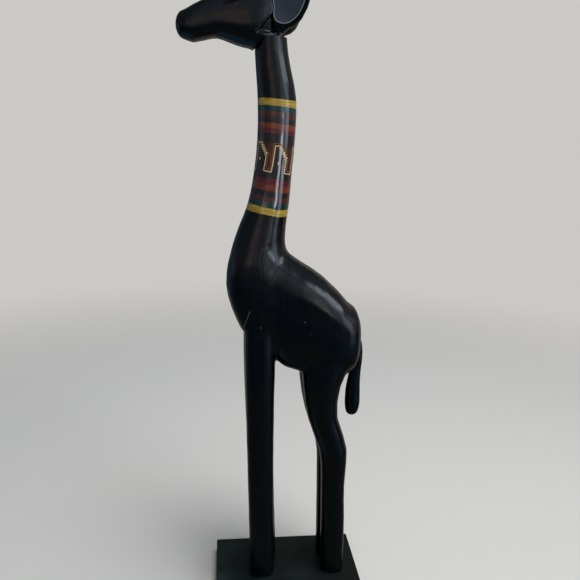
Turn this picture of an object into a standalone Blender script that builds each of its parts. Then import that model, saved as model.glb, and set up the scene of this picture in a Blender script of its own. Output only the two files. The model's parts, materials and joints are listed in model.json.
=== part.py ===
"""Carved giraffe statue: a tall wooden giraffe, glued up from carved blocks, standing on a plinth.

Run with: blender --background --python part.py
Metres, +Z up. The giraffe looks along -X, so -Y is its left side. The origin is the centre of the
plinth's underside. The figure's own heights are above the plinth's top, where the "figure" empty sits.

How the real object goes together:
- two blocks with upright grain make the body: one holds the neck, chest and front legs, the other the
  barrel, rump and hind legs. They meet at a seam that leans with the shoulder, on two dowels;
- the head is a third block on the neck's top, on one thick dowel, and its jaw laps over the neck's front;
- the ears, the horns and the tail are glued on, each on a small dowel;
- a screw from under the plinth holds each foot.
"""

import math
from collections import namedtuple

import bmesh
import bpy
import numpy as np
from mathutils import Matrix, Vector

# Plinth
BASE_LENGTH = 0.240
BASE_DEPTH = 0.132
BASE_THICKNESS = 0.022
BASE_EASED_EDGE = 0.0015

# Legs: each one's centre from the middle plane, and how far its foot strays along X from the drawn leg
FRONT_LEG_Y = 0.0235
HIND_LEG_Y = 0.0215
FOOT_STRAY_FROM = 0.300
FOOT_STRAY = {"front_left": 0.001, "front_right": 0.008, "hind_left": 0.001, "hind_right": 0.000}

# Seam between the two body blocks, as a line in the XZ plane
SEAM_LOW = Vector((-0.0262, 0.381))
SEAM_HIGH = Vector((-0.0115, 0.546))
SEAM_END = 0.366  # below this the seam's line is in the air between the legs
LEG_GAP_X = -0.008  # a plane in the air between the front and the hind legs

# Joint of neck and head: flat, and forward of JAW_LAP_X it falls away at 45 degrees
NECK_TOP = 0.849
JAW_LAP_X = -0.0515

# Joinery: dowels are (radius, length)
GLUE_GAP = 0.0003
DOWEL_CHAMFER = 0.0006
NECK_DOWEL = (0.0060, 0.056)
NECK_DOWEL_X = -0.0430
NECK_DOWEL_TILT = math.radians(5)
SEAM_DOWEL = (0.0050, 0.050)
EAR_DOWEL = (0.0025, 0.016)
EAR_DOWEL_CENTRE = Vector((-0.0300, 0.0183, 0.8720))
HORN_DOWEL = (0.0020, 0.016)
TAIL_DOWEL = (0.0025, 0.016)
SEAM_DOWEL_HEIGHTS = {"seam_dowel_upper": 0.490, "seam_dowel_lower": 0.415}
END_CLEARANCE = 0.0005

# Foot screws
SCREW_SHANK_RADIUS = 0.0020
SCREW_HEAD_RADIUS = 0.0042
SCREW_HEAD_HEIGHT = 0.0026
SCREW_LENGTH = 0.050
SCREW_POINT = 0.005
SCREW_SUNK = 0.0012
SCREW_SLOT = Vector((0.0048, 0.0010, 0.0016))

COLOURS = {
    "black_lacquer": ((0.012, 0.012, 0.014), 0.28),
    "plinth_paint": ((0.016, 0.018, 0.019), 0.45),
    "dowel_wood": ((0.52, 0.36, 0.20), 0.65),
    "screw_steel": ((0.60, 0.60, 0.58), 0.35),
}
METALS = {"screw_steel"}

# A section of a loft, square to the loft's axis: where it is along the axis, its two sides in the XZ
# plane, half its width in Y, and how square it is (2 is an ellipse, more is boxier).
Section = namedtuple("Section", "along low high half_width squareness")

NECK_AND_CHEST = [
    Section(0.880, -0.0660, -0.0230, 0.0215, 2.2),
    Section(0.829, -0.0650, -0.0175, 0.0240, 2.2),
    Section(0.767, -0.0603, -0.0042, 0.0270, 2.3),
    Section(0.710, -0.0600, -0.0050, 0.0285, 2.3),
    Section(0.665, -0.0640, -0.0080, 0.0300, 2.3),
    Section(0.618, -0.0730, -0.0115, 0.0325, 2.4),
    Section(0.570, -0.0905, -0.0160, 0.0370, 2.5),
    Section(0.530, -0.1015, -0.0120, 0.0425, 2.7),
    Section(0.495, -0.1045, -0.0050, 0.0446, 2.9),
    Section(0.460, -0.0965, -0.0060, 0.0448, 3.0),
    Section(0.432, -0.0840, -0.0120, 0.0440, 3.1),
]
CHEST_ROUNDING = 0.016

TRUNK = [
    Section(-0.070, 0.420, 0.550, 0.0340, 2.7),
    Section(-0.040, 0.386, 0.562, 0.0425, 2.9),
    Section(-0.014, 0.3655, 0.548, 0.0450, 3.2),
    Section(0.012, 0.3570, 0.530, 0.0460, 3.3),
    Section(0.045, 0.3475, 0.508, 0.0462, 3.2),
    Section(0.070, 0.3430, 0.485, 0.0456, 3.0),
    Section(0.086, 0.3500, 0.467, 0.0436, 2.7),
]
SHOULDER_ROUNDING = 0.012
RUMP_ROUNDING = 0.0225
RUMP_FULLNESS = 0.82  # less than 1 keeps the rump broad almost to its end

FRONT_LEG = [
    Section(0.455, -0.0670, -0.0340, 0.0195, 2.4),
    Section(0.425, -0.0765, -0.0300, 0.0208, 2.5),
    Section(0.390, -0.0765, -0.0284, 0.0215, 2.5),
    Section(0.330, -0.0746, -0.0284, 0.0205, 2.5),
    Section(0.215, -0.0708, -0.0280, 0.0185, 2.5),
    Section(0.120, -0.0680, -0.0262, 0.0172, 2.4),
    Section(0.050, -0.0657, -0.0246, 0.0168, 2.4),
    Section(-0.012, -0.0655, -0.0236, 0.0172, 2.4),
]

HIND_LEG = [
    Section(0.425, 0.0300, 0.0940, 0.0190, 2.4),
    Section(0.370, 0.0130, 0.0890, 0.0235, 2.6),
    Section(0.336, 0.0160, 0.0768, 0.0230, 2.5),
    Section(0.308, 0.0200, 0.0730, 0.0215, 2.4),
    Section(0.280, 0.0262, 0.0745, 0.0200, 2.4),
    Section(0.250, 0.0366, 0.0852, 0.0190, 2.3),
    Section(0.224, 0.0460, 0.0922, 0.0182, 2.3),
    Section(0.200, 0.0500, 0.0926, 0.0176, 2.4),
    Section(0.160, 0.0515, 0.0909, 0.0168, 2.4),
    Section(0.105, 0.0530, 0.0932, 0.0164, 2.4),
    Section(0.050, 0.0545, 0.0947, 0.0164, 2.4),
    Section(-0.012, 0.0550, 0.0955, 0.0170, 2.4),
]
LEG_TOP_ROUNDING = 0.010

HEAD = [
    Section(-0.1600, 0.8410, 0.8810, 0.0180, 2.4),
    Section(-0.1500, 0.8385, 0.8868, 0.0200, 2.7),
    Section(-0.1350, 0.8420, 0.8945, 0.0208, 2.9),
    Section(-0.1180, 0.8455, 0.9015, 0.0216, 2.9),
    Section(-0.1000, 0.8405, 0.9100, 0.0244, 2.9),
    Section(-0.0800, 0.8350, 0.9195, 0.0274, 3.0),
    Section(-0.0620, 0.8335, 0.9265, 0.0280, 3.0),
    Section(-0.0440, 0.8400, 0.9265, 0.0256, 2.6),
    Section(-0.0290, 0.8520, 0.9180, 0.0205, 2.3),
]
MUZZLE_ROUNDING = 0.0145
POLL_ROUNDING = 0.0130
EYE_CENTRE = Vector((-0.0940, 0.0232, 0.8935))
EYE_RADII = Vector((0.0095, 0.0042, 0.0044))
EYE_TILT = math.radians(14)

TAIL = [
    Section(0.400, 0.1040, 0.1128, 0.0050, 2.1),
    Section(0.386, 0.1020, 0.1150, 0.0066, 2.2),
    Section(0.362, 0.0970, 0.1143, 0.0078, 2.2),
    Section(0.340, 0.0925, 0.1133, 0.0086, 2.2),
    Section(0.315, 0.0896, 0.1142, 0.0092, 2.2),
    Section(0.298, 0.0894, 0.1150, 0.0092, 2.2),
    Section(0.287, 0.0906, 0.1138, 0.0088, 2.2),
]
TAIL_TOP_ROUNDING = 0.005
TAIL_TIP_ROUNDING = 0.0135
TAIL_DOWEL_CENTRE = Vector((0.1045, 0.0, 0.3850))

# An ear stands on its root in its own frame: X across, Z along the leaf, and the dish faces -Y
EAR = [
    Section(0.000, -0.0100, 0.0100, 0.0085, 2.1),
    Section(0.008, -0.0150, 0.0150, 0.0095, 2.1),
    Section(0.016, -0.0225, 0.0225, 0.0095, 2.1),
    Section(0.027, -0.0278, 0.0278, 0.0092, 2.1),
    Section(0.042, -0.0300, 0.0300, 0.0085, 2.1),
    Section(0.058, -0.0292, 0.0292, 0.0075, 2.1),
    Section(0.073, -0.0240, 0.0240, 0.0064, 2.1),
    Section(0.084, -0.0165, 0.0165, 0.0052, 2.1),
]
EAR_TIP_ROUNDING = 0.010
EAR_DISH_CENTRE = Vector((0.0, -0.0145, 0.0480))
EAR_DISH_RADII = Vector((0.0450, 0.0120, 0.0407))
EAR_ROOT = Vector((-0.0350, 0.0175, 0.8560))
EAR_LEAN_BACK = math.radians(19)
EAR_FLARE = math.radians(20)
EAR_TWIST = math.radians(22)

HORN_PROFILE = [
    (0.0000, 0.0420),
    (0.0036, 0.0412),
    (0.0062, 0.0385),
    (0.0071, 0.0345),
    (0.0064, 0.0300),
    (0.0052, 0.0265),
    (0.0050, 0.0180),
    (0.0054, 0.0090),
    (0.0064, 0.0010),
    (0.0068, -0.0060),
    (0.0000, -0.0060),
]
HORN_FOOT = Vector((-0.0560, 0.0130, 0.9220))
HORN_LEAN_BACK = math.radians(12)
HORN_SPLAY = math.radians(8)


# --- Scene and objects ---------------------------------------------------------------------------


def clear_scene():
    for obj in list(bpy.data.objects):
        bpy.data.objects.remove(obj)


def material(name):
    found = bpy.data.materials.get(name)
    if found:
        return found
    colour, roughness = COLOURS[name]
    made = bpy.data.materials.new(name)
    made.use_nodes = True
    shader = made.node_tree.nodes["Principled BSDF"]
    shader.inputs["Base Color"].default_value = (*colour, 1.0)
    shader.inputs["Roughness"].default_value = roughness
    shader.inputs["Metallic"].default_value = 1.0 if name in METALS else 0.0
    return made


def evaluated_mesh(obj, name):
    """A plain mesh of the object with its modifiers applied, in the object's own frame."""
    bpy.context.view_layer.update()
    graph = bpy.context.evaluated_depsgraph_get()
    mesh = bpy.data.meshes.new_from_object(obj.evaluated_get(graph))
    mesh.name = name
    return mesh


def boolean(obj, other, operation="DIFFERENCE"):
    modifier = obj.modifiers.new(other.name, "BOOLEAN")
    modifier.operation = operation
    modifier.object = other
    modifier.solver = "EXACT"


class Bench:
    """Where the statue is put together: its two collections, and the empty that its figure stands on."""

    def __init__(self):
        self.parts = self.collection("giraffe_statue")
        self.cutters = self.collection("cutters")
        self.cutters.hide_render = True
        self.figure = bpy.data.objects.new("figure", None)
        self.figure.location.z = BASE_THICKNESS
        self.parts.objects.link(self.figure)

    def collection(self, name):
        made = bpy.data.collections.new(name)
        bpy.context.scene.collection.children.link(made)
        return made

    def part(self, name, mesh, material_name="black_lacquer", place=Matrix()):
        obj = bpy.data.objects.new(name, mesh)
        self.parts.objects.link(obj)
        obj.parent = self.figure
        obj.matrix_local = place
        mesh.materials.clear()
        mesh.materials.append(material(material_name))
        mesh.shade_smooth()
        mesh.set_sharp_from_angle(angle=math.radians(40))
        return obj

    def cutter(self, name, mesh, place=Matrix()):
        obj = bpy.data.objects.new(name, mesh)
        self.cutters.objects.link(obj)
        obj.parent = self.figure
        obj.matrix_local = place
        obj.hide_render = True
        obj.display_type = "WIRE"
        return obj


# --- Shapes --------------------------------------------------------------------------------------


def mesh_of(shape, name):
    bmesh.ops.recalc_face_normals(shape, faces=shape.faces)
    mesh = bpy.data.meshes.new(name)
    shape.to_mesh(mesh)
    shape.free()
    return mesh


def through_sections(sections, step):
    """The sections, in order, with smooth ones filled in between them about a step apart."""
    sections = sorted(sections)
    along = np.array([s.along for s in sections])
    values = np.array([s[1:] for s in sections])
    slopes = np.gradient(values, along, axis=0)
    filled = []
    for i in range(len(sections) - 1):
        span = along[i + 1] - along[i]
        count = max(1, round(span / step))
        for t in np.arange(count) / count:
            near = 2 * t**3 - 3 * t**2 + 1
            value = near * values[i] + (1 - near) * values[i + 1]
            value += (t**3 - 2 * t**2 + t) * span * slopes[i]
            value += (t**3 - t**2) * span * slopes[i + 1]
            filled.append(Section(along[i] + t * span, *value))
    return filled + [sections[-1]]


def rounded_end(section, length, outward, fullness=1.0):
    """Sections that close a loft's end with a quarter-ellipse of this length, from the tip inwards."""
    middle = (section.low + section.high) / 2
    rounding = []
    for angle in np.radians([14, 35, 58]):
        scale = math.sin(angle)
        rounding.append(
            Section(
                section.along + outward * length * math.cos(angle),
                middle + (section.low - middle) * scale,
                middle + (section.high - middle) * scale,
                section.half_width * scale**fullness,
                section.squareness,
            )
        )
    return rounding


def section_ring(section, axis, centre_y, around):
    middle, half = (section.low + section.high) / 2, (section.high - section.low) / 2
    power = 2 / section.squareness
    ring = []
    for k in range(around):
        angle = 2 * math.pi * k / around
        across = middle + half * math.copysign(abs(math.cos(angle)) ** power, math.cos(angle))
        y = centre_y + section.half_width * math.copysign(abs(math.sin(angle)) ** power, math.sin(angle))
        ring.append((across, y, section.along) if axis == "Z" else (section.along, y, across))
    return ring


def loft(
    name,
    sections,
    axis="Z",
    centre_y=0.0,
    low_rounding=0.0,
    high_rounding=0.0,
    high_fullness=1.0,
    step=0.018,
    around=24,
):
    """A closed loft along Z or X. Its ends are flat, or rounded over the lengths given."""
    filled = through_sections(sections, step)
    if low_rounding:
        filled = rounded_end(filled[0], low_rounding, -1) + filled
    if high_rounding:
        filled += reversed(rounded_end(filled[-1], high_rounding, 1, high_fullness))
    shape = bmesh.new()
    rows = []
    for section in filled:
        rows.append([shape.verts.new(point) for point in section_ring(section, axis, centre_y, around)])
    for row, next_row in zip(rows, rows[1:]):
        for k in range(around):
            after = (k + 1) % around
            shape.faces.new((row[k], row[after], next_row[after], next_row[k]))
    shape.faces.new(rows[0])
    shape.faces.new(rows[-1])
    return mesh_of(shape, name)


def ellipsoid(name, centre, radii, tilt=0.0):
    shape = bmesh.new()
    place = Matrix.Translation(centre) @ Matrix.Rotation(tilt, 4, "Y") @ Matrix.Diagonal((*radii, 1.0))
    bmesh.ops.create_uvsphere(shape, u_segments=20, v_segments=12, radius=1.0, matrix=place)
    return mesh_of(shape, name)


def cylinder(name, radius, length):
    shape = bmesh.new()
    bmesh.ops.create_cone(shape, cap_ends=True, segments=20, radius1=radius, radius2=radius, depth=length)
    return mesh_of(shape, name)


def box(name, size):
    shape = bmesh.new()
    bmesh.ops.create_cube(shape, size=1.0, matrix=Matrix.Diagonal((*size, 1.0)))
    return mesh_of(shape, name)


def prism(name, outline, half_depth=0.2):
    """A closed prism over an outline in the XZ plane, reaching half_depth to each side of it."""
    curve = bpy.data.curves.new(name, "CURVE")
    curve.dimensions = "2D"
    curve.fill_mode = "BOTH"
    curve.extrude = half_depth
    spline = curve.splines.new("POLY")
    spline.points.add(len(outline) - 1)
    for point, (x, z) in zip(spline.points, outline):
        point.co = (x, z, 0.0, 1.0)
    spline.use_cyclic_u = True
    flat = bpy.data.objects.new(name, curve)
    bpy.context.scene.collection.objects.link(flat)
    shape = bmesh.new()
    shape.from_mesh(evaluated_mesh(flat, name))
    bpy.data.objects.remove(flat)
    bmesh.ops.remove_doubles(shape, verts=shape.verts, dist=1e-5)
    shape.transform(Matrix.Rotation(math.radians(90), 4, "X"))
    return mesh_of(shape, name)


def turn(obj, steps=20):
    """Turns an object's profile about its Z axis."""
    screw = obj.modifiers.new("turn", "SCREW")
    screw.steps = steps
    screw.render_steps = steps
    screw.use_merge_vertices = True
    screw.merge_threshold = 1e-5
    return obj


def profile_mesh(name, profile):
    """The (radius, height) points of a turned shape's profile, from its top down its outer side."""
    mesh = bpy.data.meshes.new(name)
    points = [(radius, 0.0, height) for radius, height in profile]
    mesh.from_pydata(points, [(i, i + 1) for i in range(len(points) - 1)], [])
    return mesh


def union(bench, name, first, *others):
    """One skin over overlapping closed meshes."""
    whole = bench.cutter(name + "_core", first)
    for mesh in others:
        boolean(whole, bench.cutter(mesh.name, mesh), "UNION")
    return evaluated_mesh(whole, name)


def grown(bench, name, mesh):
    """A cutter that stands a glue gap proud of a mesh, to trim what is glued to it."""
    cutter = bench.cutter(name, mesh)
    swell = cutter.modifiers.new("glue_gap", "DISPLACE")
    swell.strength = GLUE_GAP
    swell.mid_level = 0.0
    return cutter


def place_along(point, direction):
    """A place at the point, with its Z axis along the direction."""
    return Matrix.Translation(point) @ Vector(direction).to_track_quat("Z", "Y").to_matrix().to_4x4()


# --- Joinery -------------------------------------------------------------------------------------


def add_dowel(bench, name, size, place, *drilled):
    """A dowel centred on a place, along its Z axis, with its hole in each of the drilled parts."""
    radius, length = size
    half, inner = length / 2, radius - DOWEL_CHAMFER
    profile = [
        (0.0, half),
        (inner, half),
        (radius, half - DOWEL_CHAMFER),
        (radius, DOWEL_CHAMFER - half),
        (inner, -half),
        (0.0, -half),
    ]
    turn(bench.part(name, profile_mesh(name, profile), "dowel_wood", place))
    hole_mesh = cylinder(name + "_hole", radius + GLUE_GAP, length + 2 * END_CLEARANCE)
    hole = bench.cutter(name + "_hole", hole_mesh, place)
    for part in drilled:
        boolean(part, hole)


def add_foot_screw(bench, name, foot, plinth, block):
    """A countersunk wood screw, up through the plinth into a foot."""
    place = Matrix.Translation((foot.x, foot.y, SCREW_SUNK - BASE_THICKNESS))
    shank, head, tip = SCREW_SHANK_RADIUS, SCREW_HEAD_RADIUS, SCREW_LENGTH
    profile = [
        (0.0, tip),
        (shank, tip - SCREW_POINT),
        (shank, SCREW_HEAD_HEIGHT),
        (head, 0.0),
        (0.0, 0.0),
    ]
    screw = turn(bench.part(name, profile_mesh(name, profile), "screw_steel", place))
    for turned_by in (45, 135):
        slot_place = place @ Matrix.Rotation(math.radians(turned_by), 4, "Z")
        slot = bench.cutter(f"{name}_slot_{turned_by}", box(name + "_slot", SCREW_SLOT), slot_place)
        boolean(screw, slot)
    wide = GLUE_GAP
    bore = [
        (0.0, tip + END_CLEARANCE),
        (shank + wide, tip + END_CLEARANCE),
        (shank + wide, SCREW_HEAD_HEIGHT + wide),
        (head + wide, wide),
        (head + wide, -2 * SCREW_SUNK),
        (0.0, -2 * SCREW_SUNK),
    ]
    hole = turn(bench.cutter(name + "_hole", profile_mesh(name + "_hole", bore), place))
    boolean(plinth, hole)
    boolean(block, hole)


# --- Plinth --------------------------------------------------------------------------------------


def make_plinth(bench):
    place = Matrix.Translation((0.0, 0.0, -BASE_THICKNESS / 2))
    size = (BASE_LENGTH, BASE_DEPTH, BASE_THICKNESS)
    plinth = bench.part("plinth", box("plinth", size), "plinth_paint", place)
    easing = plinth.modifiers.new("eased_edges", "BEVEL")
    easing.width = BASE_EASED_EDGE
    easing.segments = 2
    return plinth


# --- Body blocks ---------------------------------------------------------------------------------


def strayed(sections, stray):
    """A leg's sections, leaning along X so that its foot is this far from where they put it."""
    moved = []
    for section in sections:
        shift = stray * max(0.0, 1 - section.along / FOOT_STRAY_FROM)
        moved.append(section._replace(low=section.low + shift, high=section.high + shift))
    return moved


def body_form(bench):
    """The body before it is parted into blocks: neck, chest, trunk and four legs."""
    neck = loft("neck_and_chest", NECK_AND_CHEST, low_rounding=CHEST_ROUNDING)
    trunk = loft(
        "trunk",
        TRUNK,
        "X",
        low_rounding=SHOULDER_ROUNDING,
        high_rounding=RUMP_ROUNDING,
        high_fullness=RUMP_FULLNESS,
    )
    legs = []
    for side, sign in (("left", -1), ("right", 1)):
        for end, sections, leg_y in (("front", FRONT_LEG, FRONT_LEG_Y), ("hind", HIND_LEG, HIND_LEG_Y)):
            name = f"{end}_{side}"
            leg = strayed(sections, FOOT_STRAY[name])
            skin = loft(name, leg, "Z", sign * leg_y, high_rounding=LEG_TOP_ROUNDING, step=0.030, around=18)
            legs.append(skin)
    return union(bench, "body_form", trunk, neck, *legs)


def seam_x(height):
    slope = (SEAM_HIGH.x - SEAM_LOW.x) / (SEAM_HIGH.y - SEAM_LOW.y)
    return SEAM_LOW.x + slope * (height - SEAM_LOW.y)


def beyond_seam(far_x, gap):
    """The outline of everything on far_x's side of the seam, set back from it by half a glue gap."""
    top, bottom, step_height = 1.0, -0.05, 0.330
    outline = [
        (seam_x(top), top),
        (seam_x(SEAM_END), SEAM_END),
        (LEG_GAP_X, step_height),
        (LEG_GAP_X, bottom),
    ]
    outline = [(x + gap, z) for x, z in outline]
    return outline + [(far_x, bottom), (far_x, top)]


def neck_joint(side):
    """The outline of what is above (side 1) or below (side -1) the joint of neck and head."""
    reach, height = 0.25, NECK_TOP - side * GLUE_GAP / 2
    joint = [(JAW_LAP_X - reach, height - reach), (JAW_LAP_X, height), (JAW_LAP_X + reach, height)]
    far = height + side * 2 * reach
    return joint + [(JAW_LAP_X + reach, far), (JAW_LAP_X - reach, far)]


def make_body_blocks(bench, form):
    front = bench.part("front_block", form.copy())
    rear = bench.part("rear_block", form.copy())
    boolean(front, bench.cutter("behind_seam", prism("behind_seam", beyond_seam(0.3, -GLUE_GAP / 2))))
    boolean(rear, bench.cutter("before_seam", prism("before_seam", beyond_seam(-0.4, GLUE_GAP / 2))))
    boolean(front, bench.cutter("above_neck", prism("above_neck", neck_joint(1))))
    floor_place = Matrix.Translation((0.0, 0.0, GLUE_GAP - 0.05))
    floor = bench.cutter("below_feet", box("below_feet", (0.5, 0.3, 0.1)), floor_place)
    boolean(front, floor)
    boolean(rear, floor)
    return front, rear


def join_body(bench, front, rear, plinth):
    across = (SEAM_HIGH.y - SEAM_LOW.y, 0.0, SEAM_LOW.x - SEAM_HIGH.x)
    for name, height in SEAM_DOWEL_HEIGHTS.items():
        place = place_along((seam_x(height), 0.0, height), across)
        add_dowel(bench, name, SEAM_DOWEL, place, front, rear)
    ends = (("front", FRONT_LEG, FRONT_LEG_Y, front), ("hind", HIND_LEG, HIND_LEG_Y, rear))
    for side, sign in (("left", -1), ("right", 1)):
        for end, sections, leg_y, block in ends:
            sole = strayed(sections, FOOT_STRAY[f"{end}_{side}"])[-1]
            foot = Vector(((sole.low + sole.high) / 2, sign * leg_y, 0.0))
            add_foot_screw(bench, f"foot_screw_{end}_{side}", foot, plinth, block)


# --- Head, ears and horns ------------------------------------------------------------------------


def head_form(bench):
    skull = loft(
        "skull", HEAD, "X", low_rounding=MUZZLE_ROUNDING, high_rounding=POLL_ROUNDING, step=0.010
    )
    eyes = []
    for side, sign in (("left", -1), ("right", 1)):
        centre = Vector((EYE_CENTRE.x, sign * EYE_CENTRE.y, EYE_CENTRE.z))
        eyes.append(ellipsoid(side + "_eye", centre, EYE_RADII, EYE_TILT))
    return union(bench, "head_form", skull, *eyes)


def make_head(bench, form, front):
    head = bench.part("head_block", form.copy())
    boolean(head, bench.cutter("below_head", prism("below_head", neck_joint(-1))))
    along_neck = (-math.sin(NECK_DOWEL_TILT), 0.0, math.cos(NECK_DOWEL_TILT))
    place = place_along((NECK_DOWEL_X, 0.0, NECK_TOP), along_neck)
    add_dowel(bench, "neck_dowel", NECK_DOWEL, place, front, head)
    return head


def ear_place(sign):
    """An ear leans back, flares away from the head, and twists to bring its dish forwards."""
    root = Vector((EAR_ROOT.x, sign * EAR_ROOT.y, EAR_ROOT.z))
    lean = Matrix.Rotation(EAR_LEAN_BACK, 4, "Y") @ Matrix.Rotation(-sign * EAR_FLARE, 4, "X")
    return Matrix.Translation(root) @ lean @ Matrix.Rotation(sign * EAR_TWIST, 4, "Z")


def make_ears(bench, head, around_head):
    for side, sign in (("left", -1), ("right", 1)):
        place = ear_place(sign)
        name = side + "_ear"
        leaf = loft(name, EAR, high_rounding=EAR_TIP_ROUNDING, step=0.012, around=20)
        ear = bench.part(name, leaf, place=place)
        outward = Vector((1.0, -sign, 1.0))
        dish = ellipsoid(name + "_dish", EAR_DISH_CENTRE * outward, EAR_DISH_RADII)
        boolean(ear, bench.cutter(name + "_dish", dish, place))
        boolean(ear, around_head)
        centre = Vector((EAR_DOWEL_CENTRE.x, sign * EAR_DOWEL_CENTRE.y, EAR_DOWEL_CENTRE.z))
        add_dowel(bench, name + "_dowel", EAR_DOWEL, place_along(centre, (0.0, sign, 0.0)), head, ear)


def make_horns(bench, head, around_head):
    for side, sign in (("left", -1), ("right", 1)):
        foot = Vector((HORN_FOOT.x, sign * HORN_FOOT.y, HORN_FOOT.z))
        lean = Matrix.Rotation(HORN_LEAN_BACK, 4, "Y") @ Matrix.Rotation(-sign * HORN_SPLAY, 4, "X")
        place = Matrix.Translation(foot) @ lean
        name = side + "_horn"
        horn = turn(bench.part(name, profile_mesh(name, HORN_PROFILE), place=place))
        boolean(horn, around_head)
        add_dowel(bench, name + "_dowel", HORN_DOWEL, place, head, horn)


# --- Tail ----------------------------------------------------------------------------------------


def make_tail(bench, rear, around_body):
    shape = loft(
        "tail",
        TAIL,
        low_rounding=TAIL_TIP_ROUNDING,
        high_rounding=TAIL_TOP_ROUNDING,
        step=0.014,
        around=16,
    )
    tail = bench.part("tail", shape)
    boolean(tail, around_body)
    place = place_along(TAIL_DOWEL_CENTRE, (1.0, 0.0, 0.0))
    add_dowel(bench, "tail_dowel", TAIL_DOWEL, place, rear, tail)


def main():
    clear_scene()
    bench = Bench()
    plinth = make_plinth(bench)
    body = body_form(bench)
    front, rear = make_body_blocks(bench, body)
    join_body(bench, front, rear, plinth)
    skull = head_form(bench)
    head = make_head(bench, skull, front)
    around_head = grown(bench, "around_head", skull)
    make_ears(bench, head, around_head)
    make_horns(bench, head, around_head)
    make_tail(bench, rear, grown(bench, "around_body", body))


main()
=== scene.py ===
"""The looks of the carved giraffe statue: its skin, lacquer, painted neck band, floor, light and camera.

The skins of the carved pieces are made from the frame's own solids: they are joined, remeshed finely and
smoothed, then carved on with the marks of the tools. Heights along the figure are above the plinth's top.
"""

import json
import math
import random

import bmesh
import bpy
import numpy as np
from mathutils import Matrix, Vector, noise
from mathutils.bvhtree import BVHTree


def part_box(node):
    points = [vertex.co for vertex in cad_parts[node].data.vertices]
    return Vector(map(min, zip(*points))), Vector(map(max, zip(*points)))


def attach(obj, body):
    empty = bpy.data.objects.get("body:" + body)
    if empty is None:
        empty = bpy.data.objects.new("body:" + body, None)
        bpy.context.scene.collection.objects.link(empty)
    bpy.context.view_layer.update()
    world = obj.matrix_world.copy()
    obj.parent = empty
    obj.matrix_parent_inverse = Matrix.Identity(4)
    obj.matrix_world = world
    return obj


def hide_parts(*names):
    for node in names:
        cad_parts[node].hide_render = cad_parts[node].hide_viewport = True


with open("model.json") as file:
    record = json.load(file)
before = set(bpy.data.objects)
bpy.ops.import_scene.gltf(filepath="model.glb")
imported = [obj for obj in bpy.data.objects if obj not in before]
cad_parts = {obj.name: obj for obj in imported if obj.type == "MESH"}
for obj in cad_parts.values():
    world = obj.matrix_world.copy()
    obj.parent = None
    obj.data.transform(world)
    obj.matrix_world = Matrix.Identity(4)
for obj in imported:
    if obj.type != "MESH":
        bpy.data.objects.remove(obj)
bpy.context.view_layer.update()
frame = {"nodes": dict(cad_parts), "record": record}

PLINTH_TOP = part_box("plinth")[1].z

# Skins: the size of a voxel, and how many rounds of smoothing take the solids' facets out
SKINS = {
    "body": (0.0018, 24),
    "head": (0.0012, 26),
    "ear": (0.0010, 36),
    "horn": (0.0008, 12),
    "tail": (0.0010, 24),
}

# Joint of neck and head: forward of JAW_LAP_X it falls away at 45 degrees. Both skins are drawn on past it
# before they are cut, a gap apart, and the cut edges are chipped.
JAW_LAP_X = -0.0515
NECK_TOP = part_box("front_block")[1].z
JOINT_GAP = 0.0003
JOINT_STRETCH = 0.012
JOINT_CHIP_DEPTH, JOINT_CHIP_SIZE = 0.0008, 0.0024

# The painted band: the height of each stripe's lower edge where the tilted stripes cross BAND_X. The tilt
# grows downwards from the tilt height.
BAND_X = -0.035
BAND_BEND_X = -0.031
BAND_TILT, BAND_TILT_HEIGHT, BAND_TILT_GROWTH = 0.07, 0.763, 0.85
BAND_WOBBLE = 0.0016
BAND_TOP = 0.7663
BAND_STRIPES = [
    (0.7567, "yellow"),
    (0.7486, "teal"),
    (0.7403, "brown"),
    (0.7325, "charcoal"),
    (0.7250, "orange"),
    (0.7186, "crimson"),
    (0.6551, "charcoal"),
    (0.6464, "crimson"),
    (0.6376, "orange"),
    (0.6287, "charcoal"),
    (0.6218, "brown"),
    (0.6127, "teal"),
    (0.6027, "yellow"),
]
PAINTS = {
    "yellow": (0.42, 0.285, 0.030),
    "teal": (0.006, 0.034, 0.034),
    "brown": (0.066, 0.019, 0.010),
    "charcoal": (0.018, 0.012, 0.012),
    "orange": (0.165, 0.034, 0.006),
    "crimson": (0.100, 0.008, 0.015),
    "cream": (0.66, 0.50, 0.27),
    "rust": (0.240, 0.075, 0.020),
    "umber": (0.058, 0.021, 0.010),
}

# Chips in the lacquer of the side towards -Y: X, height and radius
CHIPS = [
    (0.0132, 0.4469, 0.0008),
    (0.0230, 0.4280, 0.0007),
    (-0.0527, 0.4380, 0.0008),
    (0.0526, 0.1504, 0.0011),
    (0.0463, 0.0111, 0.0011),
]

# Colours of the lacquer: its undertones, its grain, and where it is marked in some way. The pale grey of
# worn edges is also painted highlight on sharp edges and on the crease's lip; the last three are a painted
# highlight in the shoulder's hollow, a painted bluish sheen on the ears' dishes and a painted highlight on
# the ears' rims.
UNDERTONES = (0.0005, 0.0009, 0.0014), (0.0018, 0.0014, 0.0016)
GRAIN_COLOUR = (0.0036, 0.0032, 0.0036)
CHIP_COLOUR = (0.22, 0.22, 0.21)
WORN_AND_HIGHLIGHT_COLOUR = (0.075, 0.082, 0.092)
DUST_COLOUR = (0.020, 0.023, 0.026)
SHOULDER_HIGHLIGHT_COLOUR = (0.25, 0.28, 0.32)
DISH_SHEEN_COLOUR = (0.048, 0.056, 0.080)
RIM_HIGHLIGHT_COLOUR = (0.24, 0.26, 0.29)

# Camera: where it stands, and its turn about the statue, its downward pitch and its roll in degrees
CAMERA_PLACE = Vector((-0.1066, -0.8848, 0.7220))
CAMERA_AZIMUTH, CAMERA_ELEVATION, CAMERA_ROLL = -6.50, 13.53, 1.59
CAMERA_LENS = 36.62


# --- Mesh work ---


def new_object(name, data):
    obj = bpy.data.objects.new(name, data)
    bpy.context.scene.collection.objects.link(obj)
    return obj


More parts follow.
